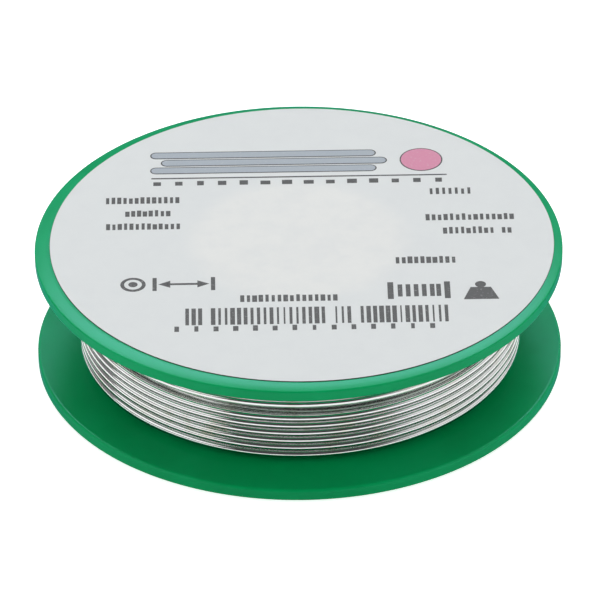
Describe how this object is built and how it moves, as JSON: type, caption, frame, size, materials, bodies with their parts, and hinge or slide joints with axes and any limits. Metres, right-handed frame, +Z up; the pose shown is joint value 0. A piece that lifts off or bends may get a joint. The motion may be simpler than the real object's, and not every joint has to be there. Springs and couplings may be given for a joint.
{
  "type": "solder wire spool",
  "caption": "Small plastic reel wound with flux-cored solder wire, with two bevelled flanges, an open bore and a round paper label.",
  "frame": {"origin": "middle of the bottom face, on the bore's axis", "axes": "+Z runs up the bore to the labelled face, +X and +Y lie in the bottom face, and -Y is the side where the outer layer has opened up"},
  "size_m": [0.063, 0.063, 0.0161],
  "materials": {
    "reel_plastic": "glossy moulded green plastic",
    "solder": "bright drawn tin-copper wire",
    "flux": "hard amber rosin",
    "label_paper": "matt coated paper"
  },
  "bodies": {
    "root": {"lower_reel_half": "reel_plastic", "upper_reel_half": "reel_plastic", "solder_inner_layers": "solder", "solder_outer_layer": "solder", "flux_core": "flux", "face_label": "label_paper"}
  },
  "joints": []
}
